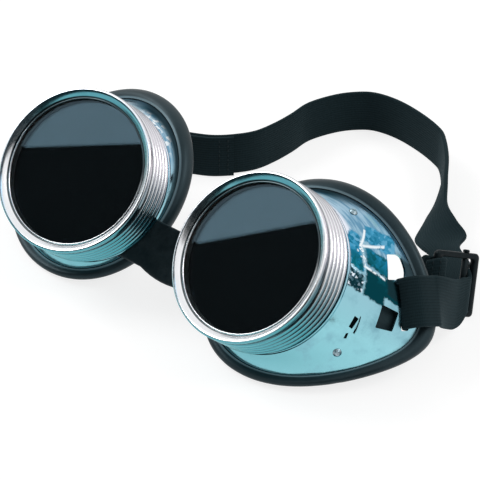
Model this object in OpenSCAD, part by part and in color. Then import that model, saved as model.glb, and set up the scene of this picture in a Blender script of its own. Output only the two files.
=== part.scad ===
// Screw-ring goggles with two round 50 mm glasses, lying on a table.
// Each eyecup is drawn in its own frame: x to the temple, y backwards along the lens axis, z up,
// with the back of the screw ring's lip at y = 0. The left cup is the right one mirrored.
// Left and right are as seen by someone who faces the glasses; z is up as the goggles lie.

/* [Glasses] */
// Diameter of the round glasses
lens_d = 50; // [48:0.5:52]
// Thickness of the clear cover glass
cover_t = 2; // [1.5:0.1:2.5]
// Thickness of the dark filter glass
filter_t = 3; // [2.5:0.1:3.5]
// Thickness of the fibre washer in front of the cover glass
washer_t = 0.5; // [0.3:0.1:0.8]
// Thickness of the spacer between the two glasses
spacer_t = 0.4; // [0.3:0.1:0.8]
// Thickness of the rubber gasket on the neck's seat
gasket_t = 1; // [0.6:0.1:1.5]
// Gap left between stacked flat faces
stack_gap = 0.05; // [0.02:0.01:0.1]

/* [Screw ring] */
// How far the ring's lip covers the edge of the glass
window_lip = 1; // [0.7:0.1:2]
// Length of the straight edge of the window
window_edge = 0.7; // [0.5:0.1:1]
// How far the ring's face stands in front of the lip
face_rise = 1.9; // [1.3:0.1:2.5]
// Radius of the roll at the ring's front corner
front_roll = 1.6; // [1:0.1:1.8]
// Step from the ring's glass bore out to its thread bore
bore_step = 0.6; // [0.5:0.1:1]
// Wall of the ring under its ridges
ring_wall = 0.8; // [0.6:0.1:1.2]
// Length of the ring behind the lip
ring_l = 13; // [12:0.5:16]
// Pitch of the rolled thread and its ridges
thread_pitch = 2.2; // [1.8:0.1:2.4]
// Number of ridges round the ring
ridge_count = 5; // [3:1:6]
// Height of the ridges
ridge_h = 0.8; // [0.4:0.1:0.9]
// Radial gap between a glass and the ring
lens_clear = 0.3; // [0.2:0.05:0.5]

/* [Cup] */
// Radial gap between the neck's thread crests and the ring's bore
thread_clear = 0.25; // [0.15:0.05:0.35]
// Height of the neck's thread crests
crest_h = 0.7; // [0.4:0.1:0.8]
// Wall of the drawn neck, under its crests
neck_wall = 0.8; // [0.6:0.1:1]
// Width of the seat that the gasket lies on
seat_w = 1.4; // [1:0.1:2]
// Length of the stop bead behind the thread
stop_l = 1.6; // [1.2:0.1:2]
// Gap between the tightened ring and the stop bead
stop_gap = 0.6; // [0.3:0.1:1]
// Wall of the pressed shell
shell_wall = 0.8; // [0.6:0.1:1]
// Outward bulge of the shell between neck and rim
shell_bulge = 0.25; // [0:0.05:0.4]

/* [Rim of the cup] */
// Half width of the rim, nose to temple
rim_half_w = 33.5; // [31:0.5:36]
// Half height of the rim
rim_half_h = 29.5; // [28:0.5:32]
// Shift of the rim's middle towards the temple
rim_shift = 12; // [10:0.5:14]
// Rise of the rim's middle
rim_rise = 1; // [-1:0.5:3]
// How much blunter the temple end is than the nose end
rim_egg = 4; // [2:0.5:5]
// How far the rim's outline is skewed
rim_skew = 6.5; // [3:0.5:8]
// Length of the shell at the nose, from the stop bead to the rim
rim_l = 5.6; // [5.2:0.1:8]
// Extra depth at the temple
temple_sweep = 10; // [8:0.5:12]
// Extra depth at the top of the rim as it lies
top_sweep = 5.5; // [3:0.5:6]
// Extra depth at both ends of the rim
end_sweep = 2; // [0:0.5:3]
// Diameter of the tube that edges the rim
trim_d = 6.4; // [5.6:0.2:7]
// Depth of the slit that grips the shell
trim_grip = 2.8; // [2:0.1:3]
// Gap each side of the shell in the slit
trim_clear = 0.15; // [0.1:0.05:0.3]

/* [Vents and baffle] */
// Length of the large vent round the cup
vent_l = 6.5; // [4:0.5:8]
// Width of the large vent
vent_w = 5; // [3:0.5:5.5]
// Place of the large vent round the cup, in degrees
vent_angle = 4; // [0:1:8]
// Length of the small vent
louvre_l = 4.5; // [3:0.5:6]
// Width of the small vent
louvre_w = 2; // [1:0.5:2.5]
// Place of the small vent round the cup, in degrees
louvre_angle = -8; // [-12:1:-4]
// Gap between the shell and the light baffle
baffle_gap = 1.6; // [1.2:0.1:2.2]
// Thickness of the light baffle
baffle_t = 0.5; // [0.4:0.1:0.8]
// Diameter of the rivet shanks
rivet_d = 1.6; // [1.2:0.1:2]

/* [Straps] */
// Width of the elastic headband
band_w = 16; // [14:0.5:17]
// Thickness of the headband
band_t = 1.4; // [1:0.1:1.6]
// Gap between the band and what it passes
band_gap = 0.3; // [0.2:0.05:0.4]
// Length of the slot for the band
slot_l = 23; // [20:0.5:24]
// Width of the slot at its top
slot_w = 6.5; // [5:0.5:7]
// Width of the slot at its foot, where the band fills it
slot_foot_w = 3.6; // [3.4:0.1:4.5]
// Shell left between the slot and the rim
slot_bar = 7.4; // [6.4:0.2:8]
// Place of the band on the temple, in degrees round the cup
band_angle = 37; // [32:1:40]
// Width of the nose bridge
bridge_w = 16; // [12:0.5:17]
// Height of the nose bridge's middle from the lens axis
bridge_drop = -10; // [-11:0.5:-8]
// Thickness of the nose bridge
bridge_t = 1.4; // [1:0.1:1.5]

/* [Buckle] */
// Length of the buckle along the band
buckle_l = 18.6; // [17:0.2:21]
// Thickness of the buckle's frame
buckle_t = 2.2; // [1.8:0.1:2.6]
// Width of the rails above and below the band
rail_w = 1.9; // [1.5:0.1:2.5]
// Width of the two end bars
bar_w = 2.3; // [2:0.1:2.6]
// Diameter of the cross pin
pin_d = 2.2; // [1.8:0.1:2.4]
// How far the pin's ends stand out of the rails
pin_out = 1; // [0.5:0.1:1.5]

/* [Pose] */
// Distance between the centres of the two windows
eye_gap = 73.2; // [72:0.2:78]
// Turn of each lens axis towards the nose
toe_in = 4.5; // [0:0.5:6]
// Lean of the lens axes above the table
lean = 45; // [43:1:47]

/* [Hidden] */

// Stack of glasses along the lens axis, from the lip backwards
washer_y = stack_gap;
cover_y = washer_y + washer_t + stack_gap;
spacer_y = cover_y + cover_t + stack_gap;
filter_y = spacer_y + spacer_t + stack_gap;
gasket_y = filter_y + filter_t + stack_gap;
neck_y = gasket_y + gasket_t;
lens_r = lens_d / 2;
ring_inner_r = lens_r + lens_clear;
window_r = lens_r - window_lip;
ring_bore_r = ring_inner_r + bore_step;
ring_r = ring_bore_r + ring_wall + ridge_h;
crest_r = ring_bore_r - thread_clear;
neck_r = crest_r - crest_h;
neck_inner_r = neck_r - neck_wall;
stop_y = ring_l + stop_gap;
stop_r = ring_r - ridge_h + 0.2;
shell_y = stop_y + stop_l / 2;
shell_r = stop_r - 1;
ring_fn = 96;
trim_r = trim_d / 2;

// Vector helpers
function unit(v) = v / norm(v);
function turn_z(v, a) = [v[0] * cos(a) - v[1] * sin(a), v[0] * sin(a) + v[1] * cos(a), v[2]];
function turn_x(v, a) = [v[0], v[1] * cos(a) - v[2] * sin(a), v[1] * sin(a) + v[2] * cos(a)];
function turn_y(v, a) = [v[0] * cos(a) + v[2] * sin(a), v[1], v[2] * cos(a) - v[0] * sin(a)];

// Rim of the cup at angle a round the lens axis, 0 at the temple and 90 at the top
function rim_point(a) = [
    rim_shift + rim_half_w * cos(a) - rim_egg * cos(2 * a),
    shell_y + rim_l + temple_sweep * (1 + cos(a)) + top_sweep * sin(a) + end_sweep * cos(2 * a),
    rim_rise + rim_half_h * sin(a) - rim_skew * sin(2 * a)];
// Outside of the shell: t runs from 0 at the neck to 1 at the rim
function wall_point(a, t) =
    let (s = t * (1 + shell_bulge * (1 - t)), rim = rim_point(a))
    [(1 - s) * shell_r * cos(a) + s * rim[0],
     shell_y + (rim[1] - shell_y) * t,
     (1 - s) * shell_r * sin(a) + s * rim[2]];
function wall_run(a, t) = unit(wall_point(a, t + 0.01) - wall_point(a, t - 0.01));
function wall_round(a, t) = unit(wall_point(a + 0.5, t) - wall_point(a - 0.5, t));
function wall_normal(a, t) = unit(cross(wall_run(a, t), wall_round(a, t)));
function below_wall(a, t, depth) = wall_point(a, t) - depth * wall_normal(a, t);
function edge_point(a) = below_wall(a, 1, shell_wall / 2);

// Turns one cup's frame into the worn frame, then into the frame on the table
function worn(p) = turn_z(p, -toe_in) + [eye_gap / 2, 0, 0];
function leaned(p) = turn_x(p, -lean);
function trim_middle(a) = edge_point(a) + (trim_r - trim_grip) * wall_run(a, 1);
function trim_low(a) =
    let (run = vector_on_table(wall_run(a, 1))[2], out = vector_on_table(wall_normal(a, 1))[2])
    leaned(worn(trim_middle(a)))[2] - trim_r * sqrt(run * run + out * out);
stand_z = -min([for (a = [0:3:357]) trim_low(a)]);
origin_y = 54.5;
function on_table(p) = leaned(worn(p)) + [0, -origin_y, stand_z];
function vector_on_table(v) = leaned(turn_z(v, -toe_in));

// Closed skin over a list of rings that all have the same number of points
module skin(rings, closed) {
    count = len(rings);
    size = len(rings[0]);
    last = closed ? count - 1 : count - 2;
    sides = [for (i = [0:last], j = [0:size - 1])
        let (k = (i + 1) % count, n = (j + 1) % size)
        each [[i * size + j, k * size + n, i * size + n], [i * size + j, k * size + j, k * size + n]]];
    near_cap = [for (j = [0:size / 2 - 2])
        each [[j, j + 1, size - 2 - j], [j, size - 2 - j, size - 1 - j]]];
    far_cap = [for (f = near_cap) [f[2], f[1], f[0]] + (count - 1) * size * [1, 1, 1]];
    polyhedron(points = [for (ring = rings) each ring],
        faces = closed ? sides : concat(sides, near_cap, far_cap), convexity = 8);
}

// A turned part: its outline is [radius, y] and it is spun round the lens axis
module turned(outline) {
    rotate([-90, 0, 0]) rotate_extrude($fn = ring_fn) polygon(outline);
}
module flat_ring(inner_r, outer_r, y, thickness) {
    turned([[inner_r, y], [outer_r, y], [outer_r, y + thickness], [inner_r, y + thickness]]);
}
module disc(r, y, thickness) {
    translate([0, y, 0]) rotate([-90, 0, 0]) cylinder(r = r, h = thickness, $fn = ring_fn);
}

// Draws the children with x along the wall's round, y out of the wall and z towards the rim
module on_wall(a, t, depth = 0) {
    p = below_wall(a, t, depth);
    n = wall_normal(a, t);
    r = wall_run(a, t);
    s = cross(n, r);
    multmatrix([[s[0], n[0], r[0], p[0]], [s[1], n[1], r[1], p[1]], [s[2], n[2], r[2], p[2]], [0, 0, 0, 1]])
        children();
}

// Where a cup goes on the table
module seat_right() {
    translate([0, -origin_y, stand_z]) rotate([-lean, 0, 0]) translate([eye_gap / 2, 0, 0])
        rotate([0, 0, -toe_in]) children();
}
module seat_left() {
    mirror([1, 0, 0]) seat_right() children();
}

// Length of a cutter through the shell
cut = 7 * shell_wall;
wall_steps = 8;
round_steps = 64;
wall_shares = [for (i = [0:wall_steps]) i / wall_steps];

// Pressed shell between the stop bead and the rim
module shell() {
    skin([for (k = [0:round_steps - 1]) let (a = 360 * k / round_steps) concat(
        [for (t = wall_shares) wall_point(a, t)],
        [for (i = [wall_steps:-1:0]) below_wall(a, wall_shares[i], shell_wall)])], true);
}

// Neck with its seat, three rolled crests and the stop bead that the shell grows from
crest_y0 = neck_y + thread_pitch / 2 + 0.3;
crests = [for (y = [crest_y0:thread_pitch:stop_y - thread_pitch / 2]) each [
    [neck_r, y - thread_pitch * 0.42], [crest_r - 0.12, y - thread_pitch * 0.2], [crest_r, y],
    [crest_r - 0.12, y + thread_pitch * 0.2], [neck_r, y + thread_pitch * 0.42]]];
module neck() {
    turned(concat([[neck_inner_r - seat_w, neck_y], [neck_r, neck_y]], crests,
        [[neck_r, stop_y], [stop_r - 0.3, stop_y], [stop_r, stop_y + 0.3],
         [stop_r, stop_y + stop_l], [neck_inner_r, stop_y + stop_l],
         [neck_inner_r, neck_y + neck_wall], [neck_inner_r - seat_w, neck_y + neck_wall]]));
}

// The band's slot lies across the wall, with its spare length at the top
slot_shift = (slot_l - band_w) / 2 - 0.4;
slot_across = wall_round(band_angle, 1);
slot_out = wall_normal(band_angle, 1);
slot_run = cross(slot_across, slot_out);
band_edge = edge_point(band_angle);
module band_slot() {
    s = slot_across;
    n = slot_out;
    r = slot_run;
    p = band_edge;
    multmatrix([[s[0], n[0], r[0], p[0]], [s[1], n[1], r[1], p[1]], [s[2], n[2], r[2], p[2]], [0, 0, 0, 1]])
        translate([slot_shift - slot_l / 2, cut, -slot_bar]) rotate([90, 0, 0]) linear_extrude(2 * cut)
            polygon([[0, 0], [slot_l, 0], [slot_l, -slot_w], [slot_l * 0.64, -slot_w],
                [slot_l * 0.36, -slot_foot_w], [0, -slot_foot_w]]);
}

rivet_places = [[321, 0.44], [85, 0.44]];
module rivet_holes() {
    for (place = rivet_places) on_wall(place[0], place[1])
        rotate([-90, 0, 0]) cylinder(d = rivet_d * 1.07, h = 2 * cut, center = true, $fn = 24);
}
module cup() {
    color("lightcyan") difference() {
        union() {
            neck();
            shell();
        }
        band_slot();
        on_wall(vent_angle, 0.54) cube([vent_l, cut, vent_w], center = true);
        on_wall(louvre_angle, 0.26) cube([louvre_l, cut, louvre_w], center = true);
        translate(bridge_at) cube([bridge_w, bridge_t + 0.4, bridge_w + 1], center = true);
        rivet_holes();
    }
}

// Rubber tube slit along one side and pushed over the rim
module edge_trim() {
    centre_out = trim_r - trim_grip;
    slit = shell_wall + 2 * trim_clear;
    lip_angle = asin(slit / 2 / trim_r);
    arc_steps = 10;
    outline = concat(
        [for (i = [0:arc_steps]) let (b = 180 + lip_angle + (360 - 2 * lip_angle) * i / arc_steps)
            [trim_r * cos(b) + centre_out, trim_r * sin(b)]],
        [[trim_clear, slit / 2], [trim_clear, -slit / 2]]);
    color("darkslategray") skin([for (k = [0:round_steps - 1]) let (a = -360 * k / round_steps,
        p = edge_point(a), run = wall_run(a, 1), out = wall_normal(a, 1))
        [for (q = outline) p + q[0] * run + q[1] * out]], true);
}

// Sheet-metal screen behind the vents, on two riveted stand-offs
baffle_from = -78;
baffle_to = 98;
function baffle_share(a, i) = 0.14 + i / 4 * (0.36 + 0.17 * max(0, min(1, (26 - a) / 16)));
module light_baffle() {
    steps = 20;
    depth = shell_wall + baffle_gap;
    color("dimgray") difference() {
        skin([for (k = [0:steps]) let (a = baffle_from + (baffle_to - baffle_from) * k / steps) concat(
            [for (i = [0:4]) below_wall(a, baffle_share(a, i), depth)],
            [for (i = [4:-1:0]) below_wall(a, baffle_share(a, i), depth + baffle_t)])], false);
        rivet_holes();
    }
}
module baffle_rivets() {
    collar_d = rivet_d * 1.5;
    head_h = rivet_d * 0.4;
    behind = shell_wall + baffle_gap + baffle_t;
    fit = baffle_gap * 0.1;
    color("silver") for (place = rivet_places) on_wall(place[0], place[1]) rotate([-90, 0, 0]) {
        translate([0, 0, head_h * 0.15]) cylinder(d1 = rivet_d * 1.75, d2 = rivet_d, h = head_h, $fn = 24);
        translate([0, 0, -behind - head_h]) cylinder(d = rivet_d, h = behind + 1.2 * head_h, $fn = 24);
        translate([0, 0, -shell_wall - baffle_gap + fit])
            cylinder(d = collar_d, h = baffle_gap - 2 * fit, $fn = 24);
        translate([0, 0, -behind - fit - head_h]) cylinder(d = collar_d, h = head_h * 0.8, $fn = 24);
    }
}

// Glasses, washers and seat
module seat_gasket() {
    color("black") flat_ring(neck_inner_r - seat_w, lens_r - 0.4, gasket_y, gasket_t);
}
module filter_glass() {
    color([0.05, 0.08, 0.07]) disc(lens_r, filter_y, filter_t);
}
module glass_spacer() {
    color("dimgray") flat_ring(lens_r - 1.3, lens_r, spacer_y, spacer_t);
}
module cover_glass() {
    color([0.6, 0.7, 0.72, 0.4]) disc(lens_r, cover_y, cover_t);
}
module fibre_washer() {
    color("firebrick") flat_ring(window_r + 0.2, lens_r, washer_y, washer_t);
}

// Rolled ring: window, bevelled face, rolled corner and ridges that follow the thread
ridge_y0 = 1.4;
ridge_steps = 6;
module screw_ring() {
    roll_y = front_roll - face_rise;
    roll = [for (b = [-100:20:0]) [ring_r - front_roll * (1 - cos(b)), roll_y + front_roll * sin(b)]];
    ridges = [for (i = [0:ridge_count * ridge_steps])
        [ring_r - ridge_h / 2 * (1 + cos(360 * i / ridge_steps)), ridge_y0 + thread_pitch * i / ridge_steps]];
    color("silver") turned(concat(
        [[window_r, 0], [window_r, -window_edge]], roll, ridges,
        [[ring_r - ridge_h, ring_l], [ring_bore_r, ring_l], [ring_bore_r, neck_y - 0.8],
         [ring_inner_r, neck_y - 1.2], [ring_inner_r, 0]]));
}

// Places both ends of a strap and all between: each station is [middle, direction of the width]
function spline(p, i, u) =
    let (n = len(p) - 1, a = p[max(i - 1, 0)], b = p[i], c = p[min(i + 1, n)], d = p[min(i + 2, n)])
    b + u / 2 * ((c - a) + u * (2 * a - 5 * b + 4 * c - d) + u * u * (3 * b - a - 3 * c + d));
function refine(p, steps) = concat(
    [for (i = [0:len(p) - 2], k = [0:steps - 1]) spline(p, i, k / steps)], [p[len(p) - 1]]);
module strap(middles, widths, width, thickness, steps) {
    m = refine(middles, steps);
    w = refine(widths, steps);
    n = len(m) - 1;
    skin([for (i = [0:n]) let (
        along = unit(m[min(i + 1, n)] - m[max(i - 1, 0)]),
        across = unit(w[i] - (w[i] * along) * along),
        out = cross(along, across),
        a = across * width / 2,
        b = out * thickness / 2)
        [m[i] + a + b, m[i] - a + b, m[i] - a - b, m[i] + a - b]], false);
}

// Bridge: a flat strap through a slot in each cup, with a sewn hem at each end inside
bridge_at = [-neck_r + 0.6, stop_y + stop_l + 0.3 + bridge_t / 2, bridge_drop];
hem_l = 3;
hem_x = bridge_at[0] + bridge_w * 0.6;
module nose_bridge() {
    half = [
        [hem_x + hem_l, bridge_t * 1.1], [hem_x + hem_l * 0.7, bridge_t * 1.2], [hem_x, bridge_t * 1.1],
        [hem_x - 0.6, bridge_t / 2], [bridge_at[0] - 4, bridge_t / 2]];
    near = [for (q = half) bridge_section([q[0], bridge_at[1], bridge_at[2]], q[1])];
    end = worn([half[4][0], bridge_at[1], 0]);
    middle = [for (side = [[1, 1], [-1, 1], [-1, -1], [1, -1]])
        [0, end[1] + 0.3 + side[1] * bridge_t / 2, bridge_at[2] + side[0] * bridge_w / 2]];
    far = [for (i = [len(near) - 1:-1:0]) mirrored(near[i])];
    color("black") translate([0, -origin_y, stand_z]) rotate([-lean, 0, 0])
        skin(concat(near, [middle], far), false);
}
function bridge_section(p, half_t) = [for (side = [[1, 1], [-1, 1], [-1, -1], [1, -1]])
    worn(p + [0, side[1] * half_t, side[0] * bridge_w / 2])];
function mirrored(ring) = [for (p = ring) [-p[0], p[1], p[2]]];

// Buckle: a flat frame that stands behind the right temple, turned with the band
buckle_w = band_w + 2 * rail_w + 0.7;
buckle_yaw = 19.4;
buckle_dip = 25.5;
buckle_roll = 25;
buckle_offset = [-2.9, 19.6, -5.1];
function buckle_turn(v) = turn_z(turn_x(turn_y(v, -buckle_roll), -buckle_dip), -buckle_yaw);
band_edge_table = on_table(band_edge);
buckle_at = band_edge_table + buckle_offset;
function by_buckle(v) = buckle_at + buckle_turn(v);
pin_y = buckle_l / 2 - bar_w - 1.9 - pin_d / 2;
module on_buckle() {
    translate(buckle_at) rotate([0, 0, -buckle_yaw]) rotate([-buckle_dip, 0, 0])
        rotate([0, -buckle_roll, 0]) children();
}
module buckle_frame() {
    window_z = buckle_w - 2 * rail_w;
    color("black") on_buckle() difference() {
        cube([buckle_t, buckle_l, buckle_w], center = true);
        translate([-buckle_t, bar_w - buckle_l / 2, -window_z / 2])
            cube([2 * buckle_t, buckle_l - 2 * bar_w, window_z]);
        translate([0, pin_y, 0]) cylinder(d = pin_d * 0.6 + 0.1, h = 2 * buckle_w, center = true, $fn = 32);
    }
}
module buckle_pin() {
    window_z = buckle_w - 2 * rail_w;
    color("gray") on_buckle() translate([0, pin_y, 0]) {
        cylinder(d = pin_d, h = window_z - 0.2, center = true, $fn = 32);
        cylinder(d = pin_d * 0.6, h = buckle_w + 0.6, center = true, $fn = 32);
        for (side = [-1, 1]) translate([0, 0, side * (buckle_w / 2 + pin_out / 2 + 0.05)])
            cylinder(d = pin_d, h = pin_out - 0.1, center = true, $fn = 32);
    }
}

// Headband: one elastic strip. It starts sewn round the buckle's near bar, goes out through the right slot,
// back over the buckle's pin, round behind and through the left slot, and ends sewn on itself.
layer = band_t + 0.15;
rim_drop = max([for (da = [-15, 15]) (band_edge - edge_point(band_angle + da)) * slot_out]);
over_trim = trim_r + band_gap + band_t / 2;
trim_x = trim_r - trim_grip;
through_x = -slot_bar - band_gap - band_t / 2;
function on_trim(a) = [trim_x + over_trim * cos(a), over_trim * sin(a)];
// Loop round the bar between slot and rim, as [towards the rim, out of the wall], from the inside out
bar_loop = [
    [3.2, -over_trim - rim_drop - 2.7], [-1.2, -over_trim - rim_drop - 0.6], [-4.6, -4.1], [-6.8, -2.9],
    [through_x - 0.7, -1.1], [through_x - 0.8, 0.8], [-6.5, 3.2], [-3, over_trim + 0.2],
    on_trim(90), on_trim(65), on_trim(38)];
right_loop = [for (q = bar_loop) on_table(band_edge + q[0] * slot_run + q[1] * slot_out)];
band_up = vector_on_table(slot_across);
function across_x(v) = [-v[0], v[1], v[2]];
left_loop = [for (i = [len(right_loop) - 1:-1:0]) across_x(right_loop[i])];
left_up = across_x(band_up);

// Path in the buckle, as [out of its face, along it, up it]
under_bar = buckle_t / 2 + band_gap / 2 + band_t / 2;
bar_y = bar_w - buckle_l / 2;
sewn_end = [for (q = [
    [-0.3, bar_y - 5.6, -1.6], [0.9, bar_y - 3.9, -0.8], [under_bar, bar_y - 2, -0.2], [under_bar, bar_y - 0.3, 0],
    [1.6, bar_y + 0.65, 0], [0.8, bar_y + 0.95, 0], [-0.8, bar_y + 0.95, 0], [-1.6, bar_y + 0.65, 0],
    [-under_bar - 0.15, bar_y - 0.3, 0], [-under_bar - 0.35, bar_y - 2.2, 0],
    [-under_bar - 1.2, bar_y - 4, -0.6]]) by_buckle(q)];
over_buckle = [for (q = [
    [under_bar + layer + 0.1, bar_y - 2.6, -5], [under_bar + layer, bar_y + 0.5, -4.6], [3, -2, -3.6],
    [2.5, 1.5, -2.1], [2.5, pin_y - 0.8, -0.9], [under_bar + 0.35, pin_y + 0.1, -0.4],
    [1.9, pin_y + 1.2, -0.15], [0.2, pin_y + 1.95, 0], [-1.7, pin_y + 2.05, 0],
    [-4.2, pin_y + 3.2, 0]]) by_buckle(q)];

// Free stretch: share of the way across, distance behind, rise, and twist from standing
free_start = over_buckle[len(over_buckle) - 1];
free_end = left_loop[0];
free_route = [
    [0.056, 8.3, 1.2, 50], [0.121, 18.1, 1.6, 88], [0.168, 27.5, 0.6, 32], [0.212, 38.1, 0.0, 0],
    [0.272, 54.7, 0.0, 0], [0.321, 65.3, 0.0, 0], [0.356, 69.6, 0.0, 0], [0.419, 74.1, 0.0, 0],
    [0.488, 77.2, 0.0, 0], [0.547, 77.4, 0.0, 0], [0.584, 74.4, 0.0, 0], [0.616, 68.6, 0.0, 0],
    [0.641, 59.2, 0.0, 0], [0.642, 49.7, 0.0, 0], [0.647, 41.3, 0.0, 0], [0.660, 33.4, 0.0, 0],
    [0.690, 27.3, 0.0, 0], [0.727, 22.9, 0.0, 0], [0.781, 19.9, 0.0, 0], [0.861, 15.4, 0.3, 0],
    [0.927, 10.7, 1.6, 0], [0.971, 5.1, 4.6, 0]];
function free_point(q) = [
    free_start[0] + q[0] * (free_end[0] - free_start[0]),
    free_start[1] + q[0] * (free_end[1] - free_start[1]) + q[1],
    band_w / 2 + 0.1 + q[2]];
free_middles = [for (q = free_route) free_point(q)];
free_count = len(free_route);
function free_along(i) = unit(
    free_middles[min(i + 1, free_count - 1)] - free_middles[max(i - 1, 0)]);
function free_across(i) =
    let (along = free_along(i), side = unit(cross(along, [0, 0, 1])), twist = free_route[i][3])
    cos(twist) * [0, 0, 1] + sin(twist) * side;
free_widths = [for (i = [0:free_count - 1]) free_across(i)];

// The sewn end lies on the inner face of the last part of the free stretch
doubled = [for (i = [free_count - 2:-1:free_count - 6])
    free_middles[i] - layer * unit(cross(free_along(i), free_widths[i]))];
headband_middles = concat(sewn_end, right_loop, over_buckle, free_middles, left_loop, doubled);
headband_widths = concat(
    [for (p = sewn_end) buckle_turn([0, 0, 1])], [for (p = right_loop) band_up],
    [for (p = over_buckle) buckle_turn([0, 0, 1])], free_widths,
    [for (p = left_loop) left_up], [for (p = doubled) [0, 0, 1]]);
module headband() {
    color("darkslategray") strap(headband_middles, headband_widths, band_w, band_t, 2);
}

seat_left() cup();  // left_cup
seat_left() edge_trim();  // left_edge_trim
seat_left() light_baffle();  // left_light_baffle
seat_left() baffle_rivets();  // left_baffle_rivets
seat_left() seat_gasket();  // left_seat_gasket
seat_left() filter_glass();  // left_filter_glass
seat_left() glass_spacer();  // left_glass_spacer
seat_left() cover_glass();  // left_cover_glass
seat_left() fibre_washer();  // left_fibre_washer
seat_left() screw_ring();  // left_screw_ring
seat_right() cup();  // right_cup
seat_right() edge_trim();  // right_edge_trim
seat_right() light_baffle();  // right_light_baffle
seat_right() baffle_rivets();  // right_baffle_rivets
seat_right() seat_gasket();  // right_seat_gasket
seat_right() filter_glass();  // right_filter_glass
seat_right() glass_spacer();  // right_glass_spacer
seat_right() cover_glass();  // right_cover_glass
seat_right() fibre_washer();  // right_fibre_washer
seat_right() screw_ring();  // right_screw_ring
nose_bridge();
headband();
buckle_frame();
buckle_pin();
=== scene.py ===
import math

import bmesh
import bpy
import numpy as np
from mathutils import Matrix, Vector


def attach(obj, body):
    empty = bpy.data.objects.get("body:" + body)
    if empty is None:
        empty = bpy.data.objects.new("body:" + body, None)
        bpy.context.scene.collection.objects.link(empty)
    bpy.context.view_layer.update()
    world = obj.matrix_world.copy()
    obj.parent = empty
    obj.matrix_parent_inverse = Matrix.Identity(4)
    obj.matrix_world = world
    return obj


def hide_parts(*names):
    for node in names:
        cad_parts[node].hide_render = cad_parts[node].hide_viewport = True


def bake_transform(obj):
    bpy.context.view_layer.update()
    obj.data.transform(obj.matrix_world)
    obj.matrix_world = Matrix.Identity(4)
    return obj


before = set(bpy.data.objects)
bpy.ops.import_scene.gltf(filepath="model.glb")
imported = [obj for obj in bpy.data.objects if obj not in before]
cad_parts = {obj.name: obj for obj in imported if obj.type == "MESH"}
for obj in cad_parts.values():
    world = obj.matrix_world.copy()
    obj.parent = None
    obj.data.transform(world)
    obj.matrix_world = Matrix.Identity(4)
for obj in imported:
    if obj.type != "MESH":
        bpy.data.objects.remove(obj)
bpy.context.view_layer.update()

# The view and the white table
# The camera stands in front of the right eyecup, a little above it, with a long lens. The goggles lie on a
# white studio table. The table stays white to the camera and to polished metal, and keeps a soft shadow.
scene = bpy.context.scene
scene.view_settings.view_transform = "Standard"


def added(name, data):
    """Puts a new object into the scene."""
    thing = bpy.data.objects.new(name, data)
    scene.collection.objects.link(thing)
    return thing


view_data = bpy.data.cameras.new("view")
view_data.lens = 172.5
view_data.sensor_width = 36
view_data.clip_start = 0.02
view = added("view", view_data)
forward = Vector((-0.520, 0.620, -0.588)).normalized()
rightward = Vector((0.765, 0.6435, 0))
rightward = (rightward - rightward.dot(forward) * forward).normalized()
upward = rightward.cross(forward)
view.matrix_world = Matrix.Translation((0.3974, -0.4896, 0.4552)) @ Matrix(
    (rightward, upward, -forward)).transposed().to_4x4()
scene.camera = view


def node(tree, kind, inputs=None, **settings):
    """Adds a node. An input is a plain value, or a Value or socket to link from."""
    new = tree.nodes.new(kind)
    for name, value in settings.items():
        setattr(new, name, value)
    for key, value in (inputs or {}).items():
        value = getattr(value, "socket", value)
        if isinstance(value, bpy.types.NodeSocket):
            tree.links.new(value, new.inputs[key])
        else:
            new.inputs[key].default_value = value
    return new


class Value:
    """A number, colour or vector in a node tree. Plain arithmetic on it adds math nodes."""

    def __init__(self, socket):
        self.socket, self.tree = socket, socket.id_data

    def __add__(self, other):
        return combined("ADD", self, other)

    def __sub__(self, other):
        return combined("SUBTRACT", self, other)

    def __rsub__(self, other):
        return combined("SUBTRACT", other, self)

    def __mul__(self, other):
        return combined("MULTIPLY", self, other)

    __radd__, __rmul__ = __add__, __mul__


def combined(operation, *values, clamp=False):
    tree = next(value.tree for value in values if isinstance(value, Value))
    inputs = dict(enumerate(values))
    return Value(node(tree, "ShaderNodeMath", inputs, operation=operation, use_clamp=clamp).outputs[0])


def largest(first, *others):
    for other in others:
        first = combined("MAXIMUM", first, other)
    return first


def tinted(share, under, over):
    """The colour under, covered by the colour over where share is 1."""
    under, over = ((*q, 1) if isinstance(q, tuple) else q for q in (under, over))
    mix = node(share.tree, "ShaderNodeMix", {0: share, 6: under, 7: over}, data_type="RGBA")
    return Value(mix.outputs[2])


def seen_directly(tree):
    """1 for rays from the camera, a mirror or a glass, and 0 for the rays that light the object."""
    rays = tree.nodes.new("ShaderNodeLightPath").outputs
    return largest(*(Value(rays[name]) for name in ("Is Camera Ray", "Is Glossy Ray", "Is Transmission Ray")))


def empty_material(name):
    material = bpy.data.materials.new(name)
    material.use_nodes = True
    material.node_tree.nodes.clear()
    return material, material.node_tree


def flat_sheet(name, corners, material):
    mesh = bpy.data.meshes.new(name)
    mesh.from_pydata([tuple(corner) for corner in corners], [], [(0, 1, 2, 3)])
    mesh.materials.append(material)
    return added(name, mesh)


studio = bpy.data.worlds.new("studio")
studio.use_nodes = True
tree = studio.node_tree
tree.nodes.clear()
white = (1, 1, 1, 1)
studio_light = seen_directly(tree) * 0.55 + 0.45
studio_sky = node(tree, "ShaderNodeBackground", {"Color": white, "Strength": studio_light})
node(tree, "ShaderNodeOutputWorld", {"Surface": studio_sky.outputs[0]})
scene.world = studio

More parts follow.
